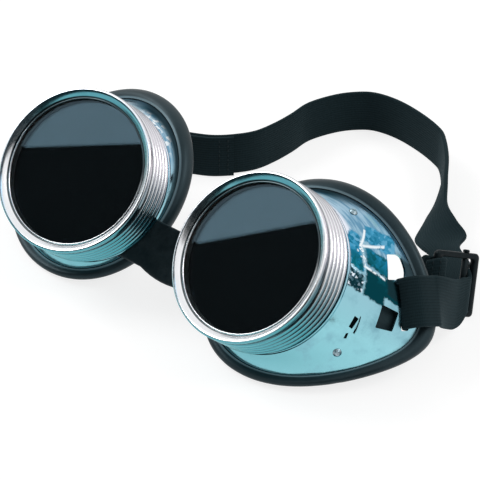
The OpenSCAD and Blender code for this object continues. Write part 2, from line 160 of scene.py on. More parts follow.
table_white, tree = empty_material("table_white")
seen = seen_directly(tree)
glow = node(tree, "ShaderNodeEmission", {"Color": white, "Strength": seen * 0.78})
paper = node(tree, "ShaderNodeBsdfDiffuse", {"Color": tinted(seen, (0.62, 0.63, 0.64), (0.34, 0.34, 0.34))})
both = node(tree, "ShaderNodeAddShader", {0: glow.outputs[0], 1: paper.outputs[0]})
node(tree, "ShaderNodeOutputMaterial", {"Surface": both.outputs[0]})
table = flat_sheet("table", [(-4, -4, 0), (4, -4, 0), (4, 4, 0), (-4, 4, 0)], table_white)

lamp_aim = Vector((0, -0.02, 0.03))
for lamp_name, lamp_place, lamp_size, lamp_power in (
        ("left_softbox", (-1.1, -0.35, 1.1), 0.8, 11), ("right_softbox", (1.1, 0.5, 1.3), 0.7, 7)):
    lamp_data = bpy.data.lights.new(lamp_name, "AREA")
    lamp_data.size, lamp_data.energy = lamp_size, lamp_power
    lamp = added(lamp_name, lamp_data)
    lamp.location = lamp_place
    lamp.rotation_euler = (lamp_aim - Vector(lamp_place)).to_track_quat("-Z", "Y").to_euler()

# What the glasses and the metal reflect
# Each glass mirrors one straight edge: a pale grey-blue card above it and a black cloth below, solved from
# its reflection in both. A dark screen stands behind the camera. Only polished surfaces and glass see them.
edge_middle, edge_along = Vector((-0.1421, -0.1911, 0.1992)), Vector((-0.8863, -0.4626, -0.0223))
screen_middle, screen_along = Vector((0.61, -0.73, 0.5)), Vector((0.766, 0.643, 0))
cards = (("pale_card", edge_middle, edge_along, (-0.19, 0.15), (0.0, 0.16), (0.70, 1.10, 1.38, 1)),
         ("black_cloth", edge_middle, edge_along, (-0.19, 0.15), (-0.17, 0.0), (0.028, 0.038, 0.044, 1)),
         ("dark_screen", screen_middle, screen_along, (-0.62, 0.46), (-0.5, 0.5), (0.012, 0.016, 0.018, 1)))
for card_name, middle, card_along, (near, far), (low, high), card_colour in cards:
    card_material, tree = empty_material(card_name)
    card_light = node(tree, "ShaderNodeEmission", {"Color": card_colour, "Strength": 1.0})
    node(tree, "ShaderNodeOutputMaterial", {"Surface": card_light.outputs[0]})
    card = flat_sheet(card_name, [middle + card_along * reach + Vector((0, 0, rise)) for reach, rise in (
        (near, low), (far, low), (far, high), (near, high))], card_material)
    card.visible_camera = card.visible_diffuse = card.visible_shadow = card.visible_volume_scatter = False

# Eyecups
# Each cup is drawn from sheet metal in one piece, then polished: a round neck with a seat and rolled thread
# crests, a stop bead, and a wall that flares out to a rim shaped to the face. The band's slot, the vents,
# the bridge's slot and the rivet holes are punched.
MM = 0.001
SIDES = ("right", "left")
eye_gap, toe_in, lean = 73.2, math.radians(4.5), math.radians(45)
origin_y, stand_z = 54.5, 37.7736
stop_y, stop_l, stop_r, shell_wall = 13.6, 1.6, 26.9, 0.8
shell_y, shell_r = stop_y + stop_l / 2, stop_r - 1
crest_r, neck_r, neck_inner_r, seat_w, neck_y = 25.65, 24.95, 24.15, 1.4, 7.15
thread_pitch = 2.2


def turned_z(p, angle):
    c, s = math.cos(angle), math.sin(angle)
    return np.stack([p[..., 0] * c - p[..., 1] * s, p[..., 0] * s + p[..., 1] * c, p[..., 2]], -1)


def turned_x(p, angle):
    c, s = math.cos(angle), math.sin(angle)
    return np.stack([p[..., 0], p[..., 1] * c - p[..., 2] * s, p[..., 1] * s + p[..., 2] * c], -1)


def worn(p):
    """A point of the right cup, in its own frame, on goggles that look straight ahead."""
    return turned_z(np.asarray(p, float), -toe_in) + np.array([eye_gap / 2, 0, 0])


def laid_down(p):
    return turned_x(np.asarray(p, float), -lean) + np.array([0, -origin_y, stand_z])


def on_table(p):
    """A point of the right cup, in its own frame, as it lies on the table, all in millimetres."""
    return laid_down(worn(p))


def direction_on_table(v):
    return turned_x(turned_z(np.asarray(v, float), -toe_in), -lean)


def rim_point(a):
    a = np.radians(a)
    return np.stack([
        12 + 33.5 * np.cos(a) - 4 * np.cos(2 * a),
        shell_y + 5.6 + 10 * (1 + np.cos(a)) + 5.5 * np.sin(a) + 2 * np.cos(2 * a),
        1 + 29.5 * np.sin(a) - 6.5 * np.sin(2 * a)], -1)


def wall_point(a, t):
    """The outside of the wall, a degrees round the lens axis and at share t of the way to the rim."""
    a, t = np.broadcast_arrays(np.asarray(a, float), np.asarray(t, float))
    s, rim, turn = t * (1 + 0.25 * (1 - t)), rim_point(a), np.radians(a)
    return np.stack([
        (1 - s) * shell_r * np.cos(turn) + s * rim[..., 0],
        shell_y + (rim[..., 1] - shell_y) * t,
        (1 - s) * shell_r * np.sin(turn) + s * rim[..., 2]], -1)


def unit(v):
    return v / np.linalg.norm(v, axis=-1, keepdims=True)


def wall_frame(a, t, depth=0.0):
    """Place, direction round the cup, direction out of the wall and direction to the rim."""
    a, t = np.asarray(a, float), np.asarray(t, float)
    run = unit(wall_point(a, t + 0.01) - wall_point(a, t - 0.01))
    out = unit(np.cross(run, unit(wall_point(a + 0.5, t) - wall_point(a - 0.5, t))))
    return wall_point(a, t) - depth * out, np.cross(out, run), out, run


def face_outward(mesh):
    shell = bmesh.new()
    shell.from_mesh(mesh)
    bmesh.ops.recalc_face_normals(shell, faces=shell.faces)
    shell.to_mesh(mesh)
    shell.free()


def make_piece(name, points, faces, side="right", material=None):
    """A mesh from points in millimetres on the table. The left side is the right one mirrored."""
    points = np.asarray(points, float).reshape(-1, 3) * MM
    if side == "left":
        points = points * np.array([-1, 1, 1])
    mesh = bpy.data.meshes.new(name)
    mesh.from_pydata(points.tolist(), [], faces)
    face_outward(mesh)
    mesh.shade_smooth()
    if material:
        mesh.materials.append(material)
    return added(name, mesh)


def skin_faces(rings, size, closed=True):
    """The faces between rings of points, joined into a loop if closed, and else with an end face each."""
    faces = []
    for i in range(rings if closed else rings - 1):
        for j in range(size):
            k, n = (i + 1) % rings, (j + 1) % size
            faces.append((i * size + j, i * size + n, k * size + n, k * size + j))
    if not closed:
        faces.append(tuple(range(size)))
        faces.append(tuple((rings - 1) * size + j for j in range(size - 1, -1, -1)))
    return faces


def sharpen(piece, degrees):
    piece.data.shade_smooth()
    piece.data.set_sharp_from_angle(angle=math.radians(degrees))


def baked(piece):
    """Applies the piece's modifiers and keeps it a plain mesh."""
    bpy.context.view_layer.update()
    result = bpy.data.meshes.new_from_object(piece.evaluated_get(bpy.context.evaluated_depsgraph_get()))
    result.name = piece.name
    piece.modifiers.clear()
    piece.data = result
    return piece


def rounded_outline(width, height, radius, steps):
    """Corner points of a rounded rectangle, centred."""
    points = []
    for cx, cy, start in ((1, 1, 0), (-1, 1, 90), (-1, -1, 180), (1, -1, 270)):
        for k in range(steps + 1):
            b = math.radians(start + 90 * k / steps)
            points.append((cx * (width / 2 - radius) + radius * math.cos(b),
                           cy * (height / 2 - radius) + radius * math.sin(b)))
    return points


def punch(place, across, out, run, outline, depth, side):
    """A straight punch through the wall: its outline is in the wall's across and run directions."""
    outline = np.array(outline)
    flat = place + outline[:, :1] * across + outline[:, 1:] * run
    points = np.concatenate([flat + depth * out, flat - depth * out])
    count = len(outline)
    faces = [(i, (i + 1) % count, count + (i + 1) % count, count + i) for i in range(count)]
    faces += [tuple(range(count - 1, -1, -1)), tuple(range(count, 2 * count))]
    return make_piece("punch", on_table(points), faces, side)


def place_in(tree):
    return Value(node(tree, "ShaderNodeTexCoord").outputs["Object"])


def map_in(tree, name):
    return split(Value(node(tree, "ShaderNodeUVMap", uv_map=name).outputs[0]))


def split(vector):
    return [Value(part) for part in node(vector.tree, "ShaderNodeSeparateXYZ", {0: vector}).outputs]


def vector_of(*parts):
    return Value(node(parts[0].tree, "ShaderNodeCombineXYZ", dict(enumerate(parts))).outputs[0])


def vector_math(operation, *vectors):
    tree = next(vector.tree for vector in vectors if isinstance(vector, Value))
    made = node(tree, "ShaderNodeVectorMath", dict(enumerate(vectors)), operation=operation)
    return Value(made.outputs["Value" if operation in ("DOT_PRODUCT", "LENGTH") else "Vector"])


def facing(tree, direction):
    """How far the surface faces a direction, from -1 to 1."""
    return vector_math("DOT_PRODUCT", Value(node(tree, "ShaderNodeNewGeometry").outputs["Normal"]), direction)


def noise(place, scale, detail, roughness=0.5):
    inputs = {"Vector": place, "Scale": scale, "Detail": detail, "Roughness": roughness}
    return Value(node(place.tree, "ShaderNodeTexNoise", inputs).outputs[0])


def pattern(place, kind, inputs, **settings):
    """A texture's own value, and the three channels of its colour."""
    made = node(place.tree, kind, {"Vector": place, **inputs}, **settings)
    channels = node(place.tree, "ShaderNodeSeparateColor", {0: made.outputs["Color"]}).outputs
    return Value(made.outputs[0]), [Value(channel) for channel in channels]


def smooth(value, low, high):
    """0 at low and 1 at high, with a soft start and end."""
    inputs = {0: value, 1: low, 2: high}
    return Value(node(value.tree, "ShaderNodeMapRange", inputs, interpolation_type="SMOOTHSTEP").outputs[0])


def spread(value, low, high, to_low, to_high):
    """Turns the range from low to high into the range from to_low to to_high."""
    inputs = {0: value, 1: low, 2: high, 3: to_low, 4: to_high}
    return Value(node(value.tree, "ShaderNodeMapRange", inputs).outputs[0])


def ramp(value, *stops):
    """A colour ramp from (place, colour) pairs."""
    made = node(value.tree, "ShaderNodeValToRGB", {0: value})
    points = made.color_ramp.elements
    while len(points) < len(stops):
        points.new(0.5)
    for point, (stop, colour) in zip(points, stops):
        point.position, point.color = stop, (*colour, 1)
    return Value(made.outputs[0])


def bump(height, strength, distance, under=None):
    inputs = {"Height": height, "Strength": strength, "Distance": distance}
    if under:
        inputs["Normal"] = under
    return Value(node(height.tree, "ShaderNodeBump", inputs).outputs[0])


def surfaced(tree, colour, rough, normal=None, more=None):
    """Ends a material with one surface. More holds further inputs of the surface by name."""
    inputs = {"Base Color": colour, "Roughness": rough, **(more or {})}
    if normal:
        inputs["Normal"] = normal
    surface = node(tree, "ShaderNodeBsdfPrincipled", inputs)
    node(tree, "ShaderNodeOutputMaterial", {"Surface": surface.outputs[0]})


def wall_box(turn, share, a_low, a_high, t_low, t_high, soft_a=1.0, soft_t=0.018):
    """1 inside a field of the cup's wall, given in degrees round it and in shares of the way to its rim."""
    turn_in = smooth(turn, a_low - soft_a, a_low + soft_a) * smooth(turn, a_high + soft_a, a_high - soft_a)
    share_in = smooth(share, t_low - soft_t, t_low + soft_t) * smooth(share, t_high + soft_t, t_high - soft_t)
    return turn_in * share_in


# Polished metal, coloured with painted reflection: pale cyan where it faces the table and lavender grey
# above, with blue hoops
cup_up, cup_front = (0, 0.7071, 0.7071), (0, -0.7071, 0.7071)
polished_cup, tree = empty_material("polished_cup")
place = place_in(tree)
turn, share, _ = map_in(tree, "wall")
turn = turn * 360.0
up_normal = facing(tree, cup_up)
# Painted reflection: the wall's colour follows which way it faces.
metal = ramp(up_normal * 0.5 + 0.5, (0.14, (0.20, 0.50, 0.56)), (0.42, (0.29, 0.61, 0.68)),
             (0.62, (0.30, 0.55, 0.64)), (0.85, (0.33, 0.52, 0.66)))
metal = tinted(smooth(noise(place, 90.0, 4.0, 0.6), 0.48, 0.72), metal, (0.20, 0.42, 0.50))
# Painted reflection: blue hoops round the upper side of the wall.
reflected_hoops = noise(vector_of(turn * 0.05, share * 13.0), 1.0, 3.0, 0.55)
high_side = smooth(up_normal, 0.3, 0.7)
metal = tinted(high_side * smooth(reflected_hoops, 0.42, 0.62), metal, (0.12, 0.30, 0.45))
# Painted highlight: a pale lavender band on the upper side, next to the ring.
metal = tinted(high_side * smooth(share, 0.17, 0.08), metal, (0.80, 0.84, 0.93))

# The right cup has painted reflection in blue and green angular patches between the ring and the band's slot
cloud_look = {"Scale": 330.0, "Detail": 5.0, "Roughness": 0.7}
cloud, (_, cloud_green, cloud_blue) = pattern(place, "ShaderNodeTexNoise", cloud_look)
block_look = {"Scale": 760.0, "Randomness": 0.9}
_, (block_chance, _, glint_chance) = pattern(place, "ShaderNodeTexVoronoi", block_look, distance="CHEBYCHEV")
_, (dot_chance, _, _) = pattern(place, "ShaderNodeTexVoronoi", {"Scale": 1250.0, "Randomness": 1.0})
ragged_turn = (cloud - 0.5) * 9.0 + turn
ragged_share = (cloud_green - 0.5) * 0.11 + share
on_right = combined("GREATER_THAN", split(place)[0], 0.0)
bend = combined("MAXIMUM", turn - 50.0, 0.0) * -0.0095
bent_share = ragged_share + bend
reflection_patch_fields = ((29, 59, 0.035, 0.182), (56, 74, 0.215, 0.6), (36, 52, 0.235, 0.58), (13, 34, 0.21, 0.46),
                  (20, 36, 0.42, 0.9))
reflection_patches = largest(*(wall_box(ragged_turn, bent_share, *field) for field in reflection_patch_fields)) * on_right
beyond_line = smooth(bent_share, 0.19, 0.24) * smooth(ragged_turn, 58, 53)
depth = combined("MINIMUM", ragged_turn * (1 / 45) - 0.55, 0.52) - 0.24 * beyond_line + 0.34 * block_chance
# Painted reflection: dark teal to pale blue patches.
metal = tinted(reflection_patches, metal, ramp(
    depth, (0.05, (0.002, 0.045, 0.060)), (0.3, (0.003, 0.10, 0.135)), (0.55, (0.010, 0.19, 0.33)),
    (0.75, (0.055, 0.33, 0.54)), (1.0, (0.30, 0.55, 0.72))))
# Painted dark reflection beside the ring, with pale specks of painted glint.
speckled_dark_reflection = wall_box(ragged_turn, ragged_share, 14, 27, 0.03, 0.19) * on_right
metal = tinted(speckled_dark_reflection, metal, ramp(
    dot_chance, (0.5, (0.004, 0.03, 0.04)), (0.8, (0.05, 0.12, 0.16)), (0.92, (0.72, 0.80, 0.88))))
# Painted shade beside the band's slot.
band_shade = wall_box(ragged_turn, ragged_share, 23.5, 37, 0.47, 0.95) * on_right
metal = tinted(band_shade, metal, (0.008, 0.030, 0.038))

# Painted highlights: bright lines and specks part the patches, and the left cup has painted glints. Beside
# the trim both cups get painted shade and are rougher.
straight, slanted = share + bend, share * -34.0 + turn
highlight_lines = ((turn, 33, 68, 0.19, 0.214), (slanted, 41.3, 43.2, 0.22, 0.46), (turn, 33, 34.6, 0.2, 0.45))
painted_highlights = largest(*(wall_box(round_by, straight, *field, 0.8, 0.007) for round_by, *field in highlight_lines))
specks = wall_box(ragged_turn, bent_share, 39, 53, 0.15, 0.23, 3, 0.02) * smooth(dot_chance, 0.7, 0.85)
glints = wall_box(ragged_turn, share, 104, 138, 0.12, 0.42, 8, 0.1) * smooth(glint_chance, 0.62, 0.7)
painted_highlights = largest(painted_highlights * smooth(cloud_blue, 0.38, 0.5), specks) * on_right
metal = tinted(largest(painted_highlights, glints * (1.0 - on_right)), metal, (0.86, 0.93, 0.97))
# Painted shade beside the trim, where the wall would mirror the black tube. The same field is also rougher.
trim_shade = 0.93 * largest(
    smooth(ragged_share, 0.84, 0.98), wall_box(turn, share, 14, 62, 0.735, 1.2, 4, 0.035),
    wall_box(turn, share, 98, 172, 0.36, 1.2, 14, 0.16))
metal = tinted(trim_shade, metal, (0.020, 0.036, 0.042))
wavy = bump(noise(place, 75.0, 1.0), 0.35, 0.0012)
brushed = node(tree, "ShaderNodeMapping", {"Vector": place, "Scale": (300, 5200, 900)})
fine = bump(noise(Value(brushed.outputs[0]), 1.0, 3.0), 0.06, 0.0002, wavy)
matt = largest(spread(cloud, 0.3, 0.75, 0.07, 0.22), trim_shade * 0.6)
edge_tint = tinted(trim_shade, (1, 1, 1), (0.10, 0.16, 0.19))
surfaced(tree, metal, matt, fine, {"Metallic": 1.0, "Specular Tint": edge_tint})

STEPS = 192
around = np.arange(0, 360, 360 / STEPS)
crest_form = ((-0.42, 0), (-0.3, 0.35), (-0.2, 0.83), (0, 1), (0.2, 0.83), (0.3, 0.35), (0.42, 0))
crest_count, crests = 2, []
for k in range(crest_count):
    y = neck_y + thread_pitch / 2 + 0.3 + thread_pitch * k
    for beside, height in crest_form:
        crests.append((neck_r + (crest_r - neck_r) * height, y + thread_pitch * beside))
neck_out = [(neck_inner_r - seat_w, neck_y), (neck_r - 0.15, neck_y), (neck_r, neck_y + 0.15)] + crests + [
    (neck_r, stop_y), (stop_r - 0.35, stop_y), (stop_r - 0.1, stop_y + 0.1), (stop_r, stop_y + 0.4),
    (stop_r, stop_y + stop_l - 0.45), (stop_r - 0.15, stop_y + stop_l - 0.12)]
seat_y = neck_y + shell_wall
neck_in = [(neck_inner_r, stop_y + stop_l), (neck_inner_r, seat_y), (neck_inner_r - seat_w, seat_y)]


def spun(outline, angles):
    """An outline of (radius, depth) spun round the lens axis: one ring of points for each angle."""
    turn = np.radians(angles)[:, None]
    r, y = np.array(outline).T
    return np.stack([r * np.cos(turn), np.broadcast_to(y, (len(angles), len(y))), r * np.sin(turn)], -1)


wall_steps = 26
first = (stop_l / 2) / (rim_point(around)[:, 1] - shell_y)
t_grid = first[:, None] + (1 - first[:, None]) * np.linspace(0, 1, wall_steps)[None, :]
a_grid = np.broadcast_to(around[:, None], t_grid.shape)
outside = wall_frame(a_grid, t_grid)[0]
inside = wall_frame(a_grid, t_grid, shell_wall)[0][:, ::-1]
cup_rings = np.concatenate([spun(neck_out, around), outside, inside, spun(neck_in, around)], axis=1)
cup_size = cup_rings.shape[1]
neck_share = -0.2
cup_shares = np.concatenate([
    np.full((STEPS, len(neck_out)), neck_share), t_grid, t_grid[:, ::-1],
    np.full((STEPS, len(neck_in)), neck_share)], axis=1)

band_angle = 37
slot_l, slot_w, slot_bar, slot_shift = 23, 6.5, 7.4, 3.1
band_edge, _, slot_out, _ = wall_frame(band_angle, 1.0, shell_wall / 2)
slot_across = unit(wall_point(band_angle + 0.5, 1.0) - wall_point(band_angle - 0.5, 1.0))
slot_run = np.cross(slot_across, slot_out)
slot_start = band_edge + slot_across * (slot_shift - slot_l / 2) - slot_run * slot_bar
vent_at, louvre_at = wall_frame(4, 0.54), wall_frame(-9, 0.26)
bridge_at = np.array([-neck_r + 0.6, 16.2, -10.0])


def eased_corners(corners, steps):
    """A closed outline from (x, y, radius) corners, each cut by a round arc."""
    points = []
    for i, (x, y, radius) in enumerate(corners):
        here = np.array([x, y])
        before = unit(np.array(corners[i - 1][:2]) - here)
        after = unit(np.array(corners[(i + 1) % len(corners)][:2]) - here)
        for k in range(steps + 1):
            u = k / steps
            a, b = here + before * radius * 0.8, here + after * radius * 0.8
            points.append(tuple((1 - u) ** 2 * a + 2 * u * (1 - u) * here + u ** 2 * b))
    return points


slot_hole = eased_corners((
    (0.1, 0, 0.8), (slot_l * 0.66, 0, 1.5), (slot_l * 0.82, 1.5, 2), (slot_l + 1.1, 1.2, 2.4),
    (slot_l + 1.3, -4.4, 0.8), (16.1, -slot_w, 0.6), (15.9, -2.7, 0.3), (0.1, -2.7, 0.8)), 6)
vent_hole = eased_corners(((3.75, -3.2, 0.5), (3.8, 3.2, 0.5), (-2.4, 3.6, 0.5), (-3.6, -2.4, 0.5)), 4)
gill_hole = eased_corners(((-1.7, -1.0, 0.2), (2.1, -0.6, 0.2), (1.7, 1.0, 0.2), (-2.0, 0.3, 0.2)), 3)
sliver_hole = eased_corners(((-5.7, -0.8, 0.1), (-3.9, -0.8, 0.1), (-3.5, -0.1, 0.1), (-5.4, 0.1, 0.1)), 3)
rivet_hole_r = 0.86
steps_round = np.radians(np.arange(0, 360, 15))
rivet_hole = [(rivet_hole_r * math.cos(b), rivet_hole_r * math.sin(b)) for b in steps_round]
x_way, y_way, z_way = np.identity(3)

# Each hole: where its punch stands, its outline and how far the punch reaches to either side of the wall
holes = (((slot_start, slot_across, slot_out, slot_run), slot_hole, 5.6), (vent_at, vent_hole, 2.8),
         (louvre_at, gill_hole, 2.8), (louvre_at, sliver_hole, 2.8), (wall_frame(321, 0.44), rivet_hole, 4),
         (wall_frame(85, 0.44), rivet_hole, 4),
         ((bridge_at, z_way, x_way, y_way), rounded_outline(17, 1.8, 0.5, 3), 8))
for side in SIDES:
    cup = make_piece(side + "_drawn_cup", on_table(cup_rings), skin_faces(STEPS, cup_size), side)
    wall_uv = cup.data.uv_layers.new(name="wall")
    for face in cup.data.polygons:
        last = any(cup.data.loops[k].vertex_index >= (STEPS - 1) * cup_size for k in face.loop_indices)
        for k in face.loop_indices:
            i, j = divmod(cup.data.loops[k].vertex_index, cup_size)
            wall_uv.data[k].uv = ((STEPS if last and i == 0 else i) / STEPS, cup_shares[i, j])
    punches = [punch(*hole_at, outline, depth, side) for hole_at, outline, depth in holes]
    for tool in punches:
        cut = cup.modifiers.new("punch", "BOOLEAN")
        cut.operation, cut.solver, cut.object = "DIFFERENCE", "EXACT", tool
    baked(cup)
    for tool in punches:
        bpy.data.objects.remove(tool)
    cup.data.materials.clear()
    cup.data.materials.append(polished_cup)
    sharpen(cup, 32)
    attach(cup, side + "_eyepiece")
    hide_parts(side + "_cup")

# Louvre lips
# Beside each small vent the same sheet is pressed out a little, like a gill, so that air passes and sparks
# don't. The press leaves a shallow fold that fades into the wall.
place_at, across, out, run = louvre_at
lip_steps, lip_start, lip_l, lip_slant, lip_lift, lip_sink = 11, -2.3, 5.6, 0.55, 0.3, 0.1
lip_profile = ((1.2, 0.2), (1.4, 0.8), (1.8, 1), (2.4, 0.8), (3.1, 0.45), (3.9, 0), (3.9, -1), (1.2, -1))
lip_rows = []
for k in range(lip_steps):
    x = lip_start + lip_l * k / (lip_steps - 1)
    lift = lip_lift * math.sin(math.pi * (k + 0.5) / lip_steps) ** 0.7
    lip_rows.append([place_at + across * (x - lip_slant * y) + out * (h * lift - lip_sink) + run * y
                     for y, h in lip_profile])
for side in SIDES:
    lip = make_piece(side + "_louvre_lip", on_table(lip_rows),
                     skin_faces(lip_steps, len(lip_profile), False), side, polished_cup)
    sharpen(lip, 50)
    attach(lip, side + "_eyepiece")

# Screw rings
# Each ring is rolled from thicker sheet. Its front corner is turned in over the glass as a bright bead, and
# its side carries five rolled ridges at the pitch of the thread inside. It is polished and patchily darker
# between the ridges. Its colour by which way it faces is painted reflection, and its face's groove has
# painted shade.
ridge_start, ridge_count, ridge_r = 1.4, 5, 0.95
polished_ring, tree = empty_material("polished_ring")
place = place_in(tree)
x, y, z = split(place)
ring_middle, backward = tuple(on_table([0, 0, 0]) * MM), tuple(direction_on_table([0, 1, 0]))
from_middle = vector_math("SUBTRACT", vector_of(combined("ABSOLUTE", x), y, z), ring_middle)
along = vector_math("DOT_PRODUCT", from_middle, backward)
phase = along * (2 * math.pi / (thread_pitch * MM)) - 2 * math.pi * ridge_start / thread_pitch
behind_roll = combined("GREATER_THAN", along, 0.0008)
valley = combined("POWER", combined("COSINE", phase) * 0.5 + 0.5, 6.0) * behind_roll
# Painted reflection: the ring's colour follows which way it faces, with bright and dark bands round its side.
up_normal = facing(tree, cup_up) * 0.5 + 0.5
face_metal = ramp(up_normal, (0.2, (0.10, 0.33, 0.39)), (0.33, (0.16, 0.42, 0.47)),
                  (0.44, (0.62, 0.68, 0.71)), (0.52, (0.84, 0.85, 0.87)))
side_metal = ramp(up_normal, (0.05, (0.13, 0.43, 0.48)), (0.27, (0.06, 0.31, 0.36)),
                  (0.45, (0.13, 0.25, 0.29)), (0.6, (0.26, 0.30, 0.34)), (0.72, (0.72, 0.67, 0.73)),
                  (0.86, (0.66, 0.63, 0.69)), (0.96, (0.24, 0.27, 0.30)))
metal = tinted(smooth(facing(tree, cup_front), 0.45, 0.75), side_metal, face_metal)
axial = Value(node(tree, "ShaderNodeVectorMath", {0: backward, "Scale": along}, operation="SCALE").outputs[0])
radial = vector_math("SUBTRACT", from_middle, axial)
radius = vector_math("LENGTH", radial)
highness = vector_math("DOT_PRODUCT", radial, cup_up)
# Painted shade: dark in the groove of the face and along the upper inner lip.
groove = smooth(radius, 0.02450, 0.02462) * smooth(radius, 0.02505, 0.02485)
inner_lip = smooth(radius, 0.02475, 0.02455) * smooth(highness, -0.002, 0.010)
front = combined("LESS_THAN", along, 0.0003)
metal = tinted(largest(groove, inner_lip) * (front * 0.92), metal, (0.012, 0.030, 0.036))
# Patchily darker between the ridges.
blotches = noise(place, 160.0, 5.0, 0.6)
metal = tinted(valley * combined("MULTIPLY_ADD", blotches, 0.9, 0.35, clamp=True), metal, (0.03, 0.07, 0.08))
turning_lines = noise(vector_of(along * 4200.0, x * 120.0, z * 120.0), 1.0, 2.0)
rough = spread(blotches, 0.3, 0.72, 0.13, 0.28)
surfaced(tree, metal, rough, bump(turning_lines, 0.015, 0.0002), {"Metallic": 1.0})


def geometry_tree(name, *sockets):
    """A new geometry tree with those inputs. Returns it and what its input node gives."""
    grower = bpy.data.node_groups.new(name, "GeometryNodeTree")
    for socket_name, kind in (("Geometry", "Geometry"), *sockets):
        grower.interface.new_socket(socket_name, in_out="INPUT", socket_type="NodeSocket" + kind)
    grower.interface.new_socket("Geometry", in_out="OUTPUT", socket_type="NodeSocketGeometry")
    return grower, grower.nodes.new("NodeGroupInput").outputs


# Ridge tree: circles of one size are set along a line and swept with a round section
ridge_tree, given = geometry_tree(
    "rolled_ridges", ("Count", "Int"), ("Pitch", "Float"), ("Circle radius", "Float"),
    ("Ridge radius", "Float"), ("First", "Float"), ("Metal", "Material"))
step = node(ridge_tree, "ShaderNodeCombineXYZ", {2: given["Pitch"]})
start = node(ridge_tree, "ShaderNodeCombineXYZ", {2: given["First"]})
row = node(ridge_tree, "GeometryNodeMeshLine", {
    "Count": given["Count"], "Start Location": start.outputs[0], "Offset": step.outputs[0]})
circle = node(ridge_tree, "GeometryNodeCurvePrimitiveCircle", {
    "Resolution": STEPS, "Radius": given["Circle radius"]})
section = node(ridge_tree, "GeometryNodeCurvePrimitiveCircle", {
    "Resolution": 20, "Radius": given["Ridge radius"]})
swept = node(ridge_tree, "GeometryNodeCurveToMesh", {
    "Curve": circle.outputs[0], "Profile Curve": section.outputs[0]})
placed = node(ridge_tree, "GeometryNodeInstanceOnPoints", {
    "Points": row.outputs[0], "Instance": swept.outputs[0]})
real = node(ridge_tree, "GeometryNodeRealizeInstances", {0: placed.outputs[0]})
painted = node(ridge_tree, "GeometryNodeSetMaterial", {
    "Geometry": real.outputs[0], "Material": given["Metal"]})
node(ridge_tree, "NodeGroupOutput", {0: painted.outputs[0]})


def grown(name, tree, inputs, seams=()):
    """Runs a geometry tree with its named inputs on the seams, if any, and returns a plain mesh object."""
    base = added(name, bpy.data.meshes.new(name))
    seam_points, seam_edges = [], []
    for seam in seams:
        seam_edges += [(len(seam_points) + k, len(seam_points) + k + 1) for k in range(len(seam) - 1)]
        seam_points += (np.array(seam) * MM).tolist()
    base.data.from_pydata(seam_points, seam_edges, [])
    modifier = base.modifiers.new("grown", "NODES")
    modifier.node_group = tree
    ids = {item.name: item.identifier for item in tree.interface.items_tree
           if item.item_type == "SOCKET" and item.in_out == "INPUT"}
    for key, value in inputs.items():
        modifier[ids[key]] = value
    return baked(base)


def joined(first_piece, second_piece):
    """Joins two meshes that lie in the same frame into the first one."""
    whole = bmesh.new()
    for piece in (first_piece, second_piece):
        whole.from_mesh(piece.data)
    whole.to_mesh(first_piece.data)
    whole.free()
    bpy.data.objects.remove(second_piece)
    return first_piece


def seat_matrix(side):
    """Turns a piece drawn round +Z, with its front at z = 0, onto its lens axis."""
    axes = [direction_on_table(v) for v in ([1, 0, 0], [0, 0, -1], [0, 1, 0])]
    columns = Matrix([list(v) for v in axes]).transposed().to_4x4()
    seat = Matrix.Translation(Vector(ring_middle)) @ columns
    return Matrix.Diagonal((-1, 1, 1, 1)) @ seat if side == "left" else seat


ring_r, ridge_h, bore_r, glass_bore_r, window_r = 27.5, 0.8, 25.9, 25.3, 24.0
roll, face_rise, skirt_end = 0.7, 1.9, 13
ring_corner = [(ring_r - roll * (1 - math.cos(b)), roll - face_rise + roll * math.sin(b))
               for b in map(math.radians, range(-90, 1, 10))]
ring_face = [(window_r, 0), (window_r, -0.2), (24.08, -0.38), (24.24, -0.46), (24.42, -0.4), (24.54, -0.3),
             (24.68, -0.36), (25.2, -0.86), (25.7, -1.3), (26.1, -1.6), (26.45, -1.8), (26.65, -1.88)]
ring_side = [(ring_r - 0.1, 0.2), (ring_r - 0.45, 0.8), (ring_r - ridge_h, 1.3),
             (ring_r - ridge_h, skirt_end - 0.15), (ring_r - ridge_h - 0.12, skirt_end)]
ring_inside = [(bore_r + 0.1, skirt_end), (bore_r, skirt_end - 0.1), (bore_r, neck_y - 0.8),
               (glass_bore_r, neck_y - 1.2), (glass_bore_r, 0)]
ring_outline = ring_face + ring_corner + ring_side + ring_inside
for side in SIDES:
    body = make_piece(side + "_rolled_ring", on_table(spun(ring_outline, around)),
                      skin_faces(STEPS, len(ring_outline)), side, polished_ring)
    ridges = grown(side + "_ridges", ridge_tree, {
        "Count": ridge_count, "Pitch": thread_pitch * MM, "Circle radius": (ring_r - ridge_r) * MM,
        "Ridge radius": ridge_r * MM, "First": (ridge_start + thread_pitch / 2) * MM,
        "Metal": polished_ring})
    ridges.data.transform(seat_matrix(side))
    face_outward(ridges.data)
    ring = joined(body, ridges)
    ring.data.materials.clear()
    ring.data.materials.append(polished_ring)
    sharpen(ring, 50)
    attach(ring, side + "_ring")
    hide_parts(side + "_screw_ring")

# Edge trims
# A satin black rubber tube is slit along one side and pushed over the cup's rim, so that it grips both
# faces of the sheet. Its two ends meet low on the temple side.
satin_rubber, tree = empty_material("satin_rubber")
place = place_in(tree)
bloom = noise(place, 55.0, 4.0, 0.6)
rubber = ramp(bloom, (0.35, (0.007, 0.014, 0.017)), (0.72, (0.018, 0.032, 0.038)))
round_tube = map_in(tree, "tube")[1]
# Painted highlight: a pale line along both edges of the slit.
lips = largest(smooth(round_tube, 0.055, 0.02), smooth(round_tube, 0.945, 0.98))
surfaced(tree, tinted(lips, rubber, (0.16, 0.23, 0.26)), spread(bloom, 0.3, 0.7, 0.34, 0.5),
         bump(noise(place, 900.0, 4.0), 0.1, 0.0003),
         {"Specular IOR Level": 0.38, "Specular Tint": (0.55, 0.78, 0.88, 1)})

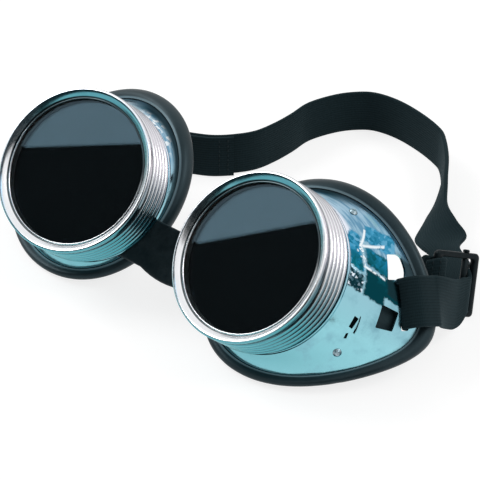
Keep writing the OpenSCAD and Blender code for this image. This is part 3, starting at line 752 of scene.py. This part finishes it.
trim_r, trim_grip, trim_clear, tube_steps = 3.2, 2.8, 0.15, 26
slit = shell_wall + 2 * trim_clear
lip_angle = math.asin(slit / 2 / trim_r)
tube = []
for k in range(tube_steps + 1):
    b = math.pi + lip_angle + (2 * math.pi - 2 * lip_angle) * k / tube_steps
    tube.append((trim_r * math.cos(b) + trim_r - trim_grip, trim_r * math.sin(b)))
tube += [(trim_clear, slit / 2), (trim_clear, -slit / 2)]
edge, _, edge_out, edge_run = wall_frame(around, 1.0, shell_wall / 2)
swell = 1 + 0.006 * np.sin(np.radians(around) * 5) + 0.004 * np.sin(np.radians(around) * 11 + 1)
ends_at, nose_at = 292, 130
ends_meet = np.minimum(1, np.abs((around - ends_at + 180) % 360 - 180) / 1.8)
swell = swell * (0.93 + 0.07 * ends_meet ** 0.5)
reach = 2.8 * np.exp(-((around - nose_at) / 36) ** 2)
tube_middle = trim_r - trim_grip
tube_rings = []
for i, (q_run, q_out) in enumerate(tube):
    if i <= tube_steps:
        run_by = ((q_run - tube_middle) * swell + tube_middle
                  - reach * np.clip((tube_middle - q_run) / trim_r, 0, 1))
        out_by = q_out * swell
    else:
        run_by, out_by = np.full(STEPS, q_run), np.full(STEPS, q_out)
    tube_rings.append(edge + run_by[:, None] * edge_run + out_by[:, None] * edge_out)
tube_rings = np.stack(tube_rings, axis=1)
for side in SIDES:
    trim = make_piece(side + "_rubber_trim", on_table(tube_rings), skin_faces(STEPS, len(tube)), side,
                      satin_rubber)
    tube_uv = trim.data.uv_layers.new(name="tube")
    for loop in trim.data.loops:
        i, j = divmod(loop.vertex_index, len(tube))
        tube_uv.data[loop.index].uv = (i / STEPS, j / tube_steps if j <= tube_steps else 0.0)
    sharpen(trim, 50)
    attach(trim, side + "_eyepiece")
    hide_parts(side + "_edge_trim")

# Glasses and what lies between them
# A clear cover glass protects an almost black filter glass. A card spacer parts them, a fibre washer takes
# the ring's rubbing in front, and a rubber gasket seals the seat behind. They keep their modelled shapes.
glass_index = 1.52
clear_glass, tree = empty_material("clear_glass")
smear = noise(place_in(tree), 60.0, 5.0, 0.6)
surfaced(tree, ramp(smear, (0.3, (0.84, 0.92, 0.93)), (0.7, (0.90, 0.95, 0.96))), 0.0,
         more={"IOR": glass_index, "Transmission Weight": 1.0})

dark_glass, tree = empty_material("dark_glass")
shade = noise(place_in(tree), 40.0, 2.0)
nearly_black = ramp(shade, (0, (0.0012, 0.0018, 0.0018)), (1, (0.0035, 0.0045, 0.0050)))
surfaced(tree, nearly_black, 0.01, more={"IOR": glass_index})


def plain_material(name, dark, light, scale, roughness, relief, metallic=0.0):
    """Two close colours mixed by noise, with a matching fine bump."""
    material, tree = empty_material(name)
    blend = noise(place_in(tree), scale, 5.0, 0.6)
    surfaced(tree, ramp(blend, (0.36, dark), (0.66, light)),
             spread(blend, 0.3, 0.7, roughness - 0.08, roughness + 0.08), bump(blend, relief, 0.0003),
             {"Metallic": metallic, "Specular IOR Level": 0.35, "Specular Tint": (0.55, 0.80, 0.90, 1)})
    return material


def paint_modelled(part, material):
    """Gives both sides of a modelled part their material and leaves their shapes."""
    for side in SIDES:
        for material_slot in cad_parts[side + "_" + part].material_slots:
            material_slot.material = material


spacer_card = plain_material("spacer_card", (0.05, 0.05, 0.05), (0.10, 0.10, 0.10), 1200, 0.8, 0.3)
washer_fibre = plain_material("washer_fibre", (0.02, 0.008, 0.006), (0.05, 0.018, 0.012), 900, 0.75, 0.4)
gasket_rubber = plain_material("gasket_rubber", (0.02, 0.02, 0.02), (0.04, 0.04, 0.04), 700, 0.6, 0.2)
for part, finish in (
        ("filter_glass", dark_glass), ("cover_glass", clear_glass), ("glass_spacer", spacer_card),
        ("fibre_washer", washer_fibre), ("seat_gasket", gasket_rubber)):
    paint_modelled(part, finish)

# Light baffles and their rivets
# A bent strip of dull sheet stands off the inside of each cup's wall, behind the vents, so that air gets in
# and light doesn't. Two aluminium rivets with collars hold it. A dark tongue carries the strip on behind
# the large vent.
baffle_sheet = plain_material("baffle_sheet", (0.006, 0.013, 0.016), (0.018, 0.032, 0.036), 260, 0.6, 0.15)
rivet_metal = plain_material("rivet_metal", (0.10, 0.17, 0.20), (0.45, 0.55, 0.60), 900, 0.3, 0.2, 1.0)
paint_modelled("light_baffle", baffle_sheet)
paint_modelled("baffle_rivets", rivet_metal)

tongue_rounds, tongue_steps, tongue_depth, tongue_t = 16, 6, 3.0, 0.45
tongue_rows = []
for a in np.linspace(-9, 20, tongue_rounds):
    shares = np.linspace(0.56, 0.79 - 0.05 * max(0.0, (a - 12) / 8), tongue_steps)
    tongue_rows.append(np.concatenate([
        wall_frame(a, shares, tongue_depth)[0], wall_frame(a, shares[::-1], tongue_depth + tongue_t)[0]]))
for side in SIDES:
    tongue = make_piece(side + "_baffle_tongue", on_table(tongue_rows),
                        skin_faces(tongue_rounds, 2 * tongue_steps, False), side, baffle_sheet)
    sharpen(tongue, 50)
    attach(tongue, side + "_eyepiece")

# Nose bridge
# A plain black leather strap passes through a slot in each cup and is folded back and sewn inside, so it
# can't pull out. Its edges are rounded, and it bows down a little in the middle.
black_leather, tree = empty_material("black_leather")
place = place_in(tree)
pores = Value(node(tree, "ShaderNodeTexVoronoi", {"Vector": place, "Scale": 1500.0}).outputs["Distance"])
creases = noise(place, 260.0, 5.0, 0.65)
surfaced(tree, ramp(creases, (0.38, (0.006, 0.010, 0.012)), (0.7, (0.016, 0.024, 0.027))),
         spread(creases, 0.3, 0.7, 0.42, 0.62), bump(pores + creases, 0.3, 0.0002),
         {"Specular IOR Level": 0.35, "Specular Tint": (0.6, 0.8, 0.88, 1)})


def strap_section(width, thickness, crown=0.0):
    """Rounded section of a flat strap as (across, out), with its middle a little fuller."""
    face_steps = 24
    corners = rounded_outline(width, thickness, thickness * 0.42, 4)
    points = []
    for a, b in zip(corners, corners[1:] + corners[:1]):
        points.append(a)
        if abs(b[0] - a[0]) > width / 2:
            points += [(a[0] + (b[0] - a[0]) * k / face_steps, a[1]) for k in range(1, face_steps)]
    return [(x, y * (1 + crown * (1 - (2 * x / width) ** 2))) for x, y in points]


bridge_w, bridge_t, bridge_bow = 16.0, 1.4, 1.5
bridge_x, bridge_y, bridge_z = bridge_at
hem_x, hem_l = bridge_x + 9.6, 3
half_bridge = [
    (hem_x + hem_l, bridge_t * 1.05), (hem_x + hem_l * 0.7, bridge_t * 1.2), (hem_x + 1.2, bridge_t * 1.15),
    (hem_x, bridge_t * 0.95), (hem_x - 0.7, bridge_t / 2), (hem_x - 3, bridge_t / 2),
    (bridge_x + 2, bridge_t / 2), (bridge_x - 1, bridge_t / 2), (bridge_x - 4, bridge_t / 2)]
section_points = strap_section(bridge_w, bridge_t, crown=0.08)
bridge_rings = [worn([[x, bridge_y + q[1] * half / (bridge_t / 2), bridge_z + q[0]] for q in section_points])
                for x, half in half_bridge]
end_y = worn([half_bridge[-1][0], bridge_y, 0])[1]
mid_y = end_y + 0.3
inner_x = bridge_rings[-1][:, 0].mean()
for x in (inner_x * 0.75, inner_x * 0.5, inner_x * 0.25, 0.0):
    y = mid_y - (mid_y - end_y) * (x / inner_x) ** 2
    bow = bridge_bow * (1 - (x / inner_x) ** 2)
    bridge_rings.append(np.array([
        [x, y + q[1], bridge_z + q[0] - bow * max(0.0, -2 * q[0] / bridge_w)] for q in section_points]))
flip = np.array([-1, 1, 1])
bridge_rings = laid_down(bridge_rings + [ring * flip for ring in bridge_rings[-2::-1]])
bridge = make_piece("bridge_strap", bridge_rings, skin_faces(len(bridge_rings), len(section_points), False),
                    material=black_leather)
sharpen(bridge, 60)
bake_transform(bridge)
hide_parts("nose_bridge")

# Slide buckle
# A flat pressed frame in black lacquer, with rounded corners and edges. The band's end is sewn round its
# near bar. A loose cross pin with two visible ends grips the band where it passes over.
black_lacquer, tree = empty_material("black_lacquer")
mottle = noise(place_in(tree), 320.0, 5.0, 0.62)
surfaced(tree, ramp(mottle, (0.4, (0.0015, 0.003, 0.004)), (0.74, (0.007, 0.011, 0.013))),
         spread(mottle, 0.3, 0.7, 0.26, 0.46), bump(mottle, 0.15, 0.0002),
         {"Specular IOR Level": 0.15, "Specular Tint": (0.6, 0.8, 0.88, 1)})

buckle_l, buckle_t, rail_w, bar_w, pin_d = 18.6, 2.2, 1.9, 2.3, 2.2
band_w, band_t = 16.0, 1.4
buckle_w = band_w + 2 * rail_w + 0.7
buckle_at = on_table(band_edge) + np.array([-2.9, 19.6, -5.1])
pin_y = buckle_l / 2 - bar_w - 1.9 - pin_d / 2
buckle_roll, buckle_pitch, buckle_yaw = math.radians(-25), math.radians(-25.5), math.radians(-19.4)


def buckle_turn(v):
    v = np.asarray(v, float)
    c, s = math.cos(buckle_roll), math.sin(buckle_roll)
    v = np.stack([v[..., 0] * c + v[..., 2] * s, v[..., 1], v[..., 2] * c - v[..., 0] * s], -1)
    return turned_z(turned_x(v, buckle_pitch), buckle_yaw)


def by_buckle(v):
    """A point in the buckle's frame: out of its face, along the band and across it."""
    return buckle_at + buckle_turn(v)


outer_rim = rounded_outline(buckle_l, buckle_w, 1.5, 6)
inner_rim = rounded_outline(buckle_l - 2 * bar_w, buckle_w - 2 * rail_w, 0.7, 6)
bar_half = ((0, -0.62), (0, 0.62), (0.18, 0.92), (0.5, 1.1))
frame_rings = []
for o, i in zip(np.array(outer_rim), np.array(inner_rim)):
    toward = unit(i - o)
    section = [(o + toward * inset, height) for inset, height in bar_half]
    section += [(i - toward * inset, height) for inset, height in bar_half[:0:-1]]
    section += [(i - toward * inset, -height) for inset, height in bar_half[1:]]
    section += [(o + toward * inset, -height) for inset, height in bar_half[:1:-1]]
    frame_rings.append([[height, *flat] for flat, height in section])
buckle = make_piece("buckle_loop", by_buckle(frame_rings), skin_faces(len(frame_rings), 12),
                    material=black_lacquer)
sharpen(buckle, 60)
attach(buckle, "buckle")
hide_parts("buckle_frame")

pin_half = [(1.1, 8.2), (1.05, 8.25), (0.66, 8.3), (0.66, 10.28), (1.0, 10.3), (1.1, 10.4), (1.1, 10.9),
            (1.0, 11.1), (0.7, 11.25)]
pin_outline = [(r, -z) for r, z in pin_half[::-1]] + pin_half
pin_rings = [[(r * math.cos(a), pin_y + r * math.sin(a), z) for a in steps_round] for r, z in pin_outline]
pin = make_piece("cross_pin", by_buckle(pin_rings), skin_faces(len(pin_rings), len(steps_round), False),
                 material=black_lacquer)
sharpen(pin, 45)
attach(pin, "buckle")
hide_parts("buckle_pin")

# Headband
# One strip of black woven elastic, 16 mm wide, with rubber cores that show as fine ribs along its length.
# It is sewn round the buckle's near bar, goes through the right cup's slot, back over the pin, round
# behind, through the left slot, and its end is sewn flat on itself.
woven_elastic, tree = empty_material("woven_elastic")
place = place_in(tree)
by_width, by_length, _ = map_in(tree, "weave")
rib_count, pick_l = 17, 0.55
rib = combined("SINE", by_width * (2 * math.pi * rib_count)) * 0.5 + 0.5
pick = combined("SINE", by_length * (2 * math.pi / pick_l)) * 0.5 + 0.5
weave = pick * 0.35 + rib * 0.65
shade = noise(place, 45.0, 3.0) * 0.5 + weave * 0.5
woven = bump(noise(place, 1400.0, 3.0) * 0.25 + weave, 0.5, 0.0002)
surfaced(tree, ramp(shade, (0.2, (0.002, 0.005, 0.006)), (0.85, (0.007, 0.015, 0.018))), 0.82, woven, {
    "Sheen Weight": 0.06, "Sheen Roughness": 0.5, "Sheen Tint": (0.40, 0.70, 0.80, 1),
    "Specular IOR Level": 0.3, "Specular Tint": (0.45, 0.78, 0.90, 1)})

band_gap, trim_gap = 0.15, 0.3
layer = band_t + band_gap
rim_drop = max(float((band_edge - wall_frame(band_angle + da, 1.0, shell_wall / 2)[0]) @ slot_out)
               for da in (-15, 15))
over_trim = trim_r + trim_gap + band_t / 2
through_x = -slot_bar - trim_gap - band_t / 2


def on_trim(degrees):
    b = math.radians(degrees)
    return (tube_middle + over_trim * math.cos(b), over_trim * math.sin(b))


def by_rim(route):
    return [on_table(band_edge + q[0] * slot_run + q[1] * slot_out) for q in route]


loop_inside = [(3.2, -over_trim - rim_drop - 2.7), (-1.2, -over_trim - rim_drop - 0.6), (-4.6, -4.1),
               (-6.8, -2.9), (through_x - 0.7, -1.1), (through_x - 0.8, 0.8)]
loop_outside = [(-6.5, 3.2), (-3, over_trim + 0.2), on_trim(90), on_trim(65), on_trim(38)]
pulled_outside = [(through_x - 0.2, 3.0), (-6.9, 4.7), (-4.6, 4.9), (-2, over_trim + 0.4), on_trim(88),
                  on_trim(62)]
right_loop = by_rim(loop_inside + pulled_outside)
left_loop = [p * flip for p in by_rim(loop_inside + loop_outside)[::-1]]
under_bar = buckle_t / 2 + band_gap + band_t / 2
bar_y = bar_w - buckle_l / 2
sewn_end = [by_buckle(q) for q in (
    (-0.3, bar_y - 5.6, -1.6), (0.9, bar_y - 3.9, -0.8), (under_bar, bar_y - 2, -0.2),
    (under_bar, bar_y - 0.3, 0), (1.6, bar_y + 0.65, 0), (0.8, bar_y + 0.95, 0), (-0.8, bar_y + 0.95, 0),
    (-1.6, bar_y + 0.65, 0), (-under_bar - 0.15, bar_y - 0.3, 0), (-under_bar - 0.35, bar_y - 2.2, 0),
    (-under_bar - 1.2, bar_y - 4, -0.6))]
leaves_pin = (-1.7, pin_y + 2.05, -0.6)
over_buckle = [by_buckle(q) for q in (
    (8.7, -11.5, -5.8), (6.3, -6.6, -6.2), (4.3, -2.2, -6.3), (3.2, 1.2, -5.4), (2.7, pin_y - 0.8, -4.4),
    (2.4, pin_y + 0.2, -3.6), (1.8, pin_y + 1.2, -2.8), (0.2, pin_y + 1.95, -1.5), leaves_pin,
    (-4.2, pin_y + 3.2, 0))]
gathered = [1, 1, 1, 0.97, 0.86, 0.78, 0.74, 0.8, 0.9, 0.9]
twisted = [0.62, 1.0, 0.97, 0.7, 0.86]

# The free run round behind: share of the way to the left loop, how far behind that line, how high and how
# far it is twisted from standing, in degrees
free_route = (
    (0.085, 12.2, 0.9, 80), (0.119, 18.5, 0.5, 83), (0.159, 23.7, 0.1, 63), (0.199, 33.1, -0.1, 36),
    (0.2315, 43.1, 0, 12), (0.2715, 55.0, 0, 0), (0.321, 65.3, 0, 0), (0.356, 69.6, 0, 0),
    (0.419, 74.1, 0, 0), (0.488, 77.2, 0, 0), (0.547, 77.4, 0, 0), (0.584, 74.4, 0, 0),
    (0.616, 68.6, 0, 0), (0.641, 59.2, 0, 0), (0.642, 49.7, 0, 0), (0.647, 41.3, 0, 0),
    (0.660, 33.4, 0, 0), (0.690, 27.3, 0, 0), (0.727, 22.9, 0, 0), (0.781, 19.9, 0, 0),
    (0.861, 15.4, 0.3, 0), (0.927, 10.7, 1.6, 0), (0.971, 5.1, 4.6, 0))
free_start, free_end = over_buckle[-1], left_loop[0]
free = []
for way_share, behind, height, _ in free_route:
    x, y = free_start[:2] + way_share * (free_end[:2] - free_start[:2])
    free.append(np.array([x, y + behind, band_w / 2 + 0.1 + height]))
free_along = [unit(free[min(i + 1, len(free) - 1)] - free[max(i - 1, 0)]) for i in range(len(free))]
standing = np.array([0, 0, 1.0])
free_across = [math.cos(math.radians(q[3])) * standing
               + math.sin(math.radians(q[3])) * unit(np.cross(way, standing))
               for q, way in zip(free_route, free_along)]
doubled = [free[i] - layer * unit(np.cross(free_along[i], free_across[i]))
           for i in range(len(free) - 2, len(free) - 7, -1)]
band_up, buckle_up = direction_on_table(slot_across), buckle_turn([0, 0, 1])
band_shares = ([1] * (len(sewn_end) + len(right_loop)) + gathered + twisted
               + [1] * (len(free) - len(twisted) + len(left_loop) + len(doubled)))
band_middles = sewn_end + right_loop + over_buckle + free + left_loop + doubled
band_across = ([buckle_up] * len(sewn_end) + [band_up] * len(right_loop) + [buckle_up] * len(over_buckle)
               + free_across + [band_up * flip] * len(left_loop) + [standing] * len(doubled))


def refined(points, steps):
    """A smooth curve through the points, with that many steps between each two."""
    points, out = np.array(points), []
    last = len(points) - 1
    for i in range(last):
        a, b, c, d = points[max(i - 1, 0)], points[i], points[i + 1], points[min(i + 2, last)]
        for k in range(steps):
            u = k / steps
            pull = (c - a) + u * (2 * a - 5 * b + 4 * c - d)
            out.append(b + u / 2 * (pull + u * u * (3 * b - a - 3 * c + d)))
    out.append(points[last])
    return np.array(out)


curve_steps, least_step, easing_rounds = 6, 0.12, 40
middles, widths = refined(band_middles, curve_steps), refined(band_across, curve_steps)
shares = refined([[q, 0, 0] for q in band_shares], curve_steps)[:, 0]
keep = [0]
for i in range(1, len(middles)):
    if np.linalg.norm(middles[i] - middles[keep[-1]]) > least_step:
        keep.append(i)
middles, widths, shares = middles[keep], widths[keep], shares[keep]
for k in range(easing_rounds):
    widths[1:-1] = (widths[:-2] + 2 * widths[1:-1] + widths[2:]) / 4
widths = unit(widths)
band_section = np.array(strap_section(band_w, band_t))
along = unit(np.concatenate([
    middles[1:2] - middles[:1], middles[2:] - middles[:-2], middles[-1:] - middles[-2:-1]]))
out = unit(np.cross(along, widths))
rings = (middles[:, None] + band_section[None, :, :1] * (widths * shares[:, None])[:, None]
         + band_section[None, :, 1:] * out[:, None])
length = np.concatenate([[0], np.cumsum(np.linalg.norm(np.diff(middles, axis=0), axis=1))])


def nearest_ring(point):
    return int(np.argmin(np.linalg.norm(middles - np.array(point), axis=1)))


# The strip is cut where it passes the slot, where it leaves the pin and behind. Its map runs 0 to 1 across
# it, and in millimetres along it.
at_slot, at_fold = nearest_ring(by_rim([loop_inside[-1]])[0]), nearest_ring(by_buckle(leaves_pin))
at_back = nearest_ring(free[5])
at_end = len(middles) - 1
sewn_from, sewn_to, fold_from, fold_to = [by_buckle((0, y, 0)) for y in (-17.5, -13.0, -15.5, -3.0)]
runs = (
    ("sewn_run", 0, at_slot, "right_eyepiece", "buckle", sewn_from, sewn_to),
    ("folded_run", at_slot, at_fold, "right_eyepiece", "buckle", fold_from, fold_to),
    ("twisted_run", at_fold, at_back, "buckle", "right_eyepiece", (70, 10, 9), (34, 52, 8)),
    ("elastic_band", at_back, at_end, "right_eyepiece", "left_eyepiece", (30, 30, 10), (-35, 30, 10)))
for run_name, first_ring, last_ring, near_body, far_body, blend_start, blend_end in runs:
    run_rings = rings[first_ring:last_ring + 1]
    count, size = run_rings.shape[:2]
    band = make_piece(run_name, run_rings, skin_faces(count, size, False), material=woven_elastic)
    weave_uv = band.data.uv_layers.new(name="weave")
    for loop in band.data.loops:
        i, j = divmod(loop.vertex_index, size)
        weave_uv.data[loop.index].uv = (band_section[j, 0] / band_w + 0.5, length[first_ring + i])
    sharpen(band, 60)
    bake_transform(band)
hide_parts("headband")

# Stitches
# Rows of short stitches in black thread hold the band's two sewn ends and the bridge's hems. They are set
# along each seam and lie on the strap's face.
sewing_thread = plain_material("sewing_thread", (0.003, 0.006, 0.007), (0.010, 0.016, 0.018), 2600, 0.7, 0.3)
stitch_tree, given = geometry_tree(
    "stitches", ("Spacing", "Float"), ("Thread radius", "Float"), ("Stretch", "Float"),
    ("Thread", "Material"))
seam_curve = node(stitch_tree, "GeometryNodeMeshToCurve", {0: given["Geometry"]})
spots = node(stitch_tree, "GeometryNodeCurveToPoints", {
    "Curve": seam_curve.outputs[0], "Length": given["Spacing"]}, mode="LENGTH")
bead = node(stitch_tree, "GeometryNodeMeshUVSphere", {
    "Segments": 10, "Rings": 8, "Radius": given["Thread radius"]})
long_bead = node(stitch_tree, "ShaderNodeCombineXYZ", {0: 1.0, 1: 1.0, 2: given["Stretch"]})
sewn = node(stitch_tree, "GeometryNodeInstanceOnPoints", {
    "Points": spots.outputs["Points"], "Instance": bead.outputs["Mesh"],
    "Rotation": spots.outputs["Rotation"], "Scale": long_bead.outputs[0]})
real = node(stitch_tree, "GeometryNodeRealizeInstances", {0: sewn.outputs[0]})
soft = node(stitch_tree, "GeometryNodeSetShadeSmooth", {0: real.outputs[0]})
painted = node(stitch_tree, "GeometryNodeSetMaterial", {
    "Geometry": soft.outputs[0], "Material": given["Thread"]})
node(stitch_tree, "NodeGroupOutput", {0: painted.outputs[0]})
stitch_sizes = {"Spacing": 1.9 * MM, "Thread radius": 0.2 * MM, "Stretch": 3.4, "Thread": sewing_thread}

near_row, far_row, band_end = 2.2, 4.4, length[-1]
sewn_ends = (("sewn_end_stitches", "buckle", (near_row, far_row)),
             ("doubled_end_stitches", "left_eyepiece", (band_end - near_row, band_end - far_row)))
for end_name, body, rows_at in sewn_ends:
    band_seams = []
    for at_length in rows_at:
        i = int(np.argmin(np.abs(length - at_length)))
        face_middle = middles[i] + out[i] * (band_t / 2 + 0.06)
        band_seams.append([face_middle + widths[i] * x for x in np.linspace(-6.8, 6.8, 9)])
    band_stitches = grown(end_name, stitch_tree, stitch_sizes, band_seams)
    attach(band_stitches, body)
hem_face_y = bridge_y + bridge_t * 1.2 + 0.12
hem_seams = [laid_down(worn([[x, hem_face_y, bridge_z + z] for z in np.linspace(-6.6, 6.6, 9)]))
             for x in (hem_x + 1.3, hem_x + 2.3)]
for side in SIDES:
    side_seams = [seam * (flip if side == "left" else 1) for seam in hem_seams]
    hem_stitches = grown(side + "_hem_stitches", stitch_tree, stitch_sizes, side_seams)
    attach(hem_stitches, side + "_eyepiece")
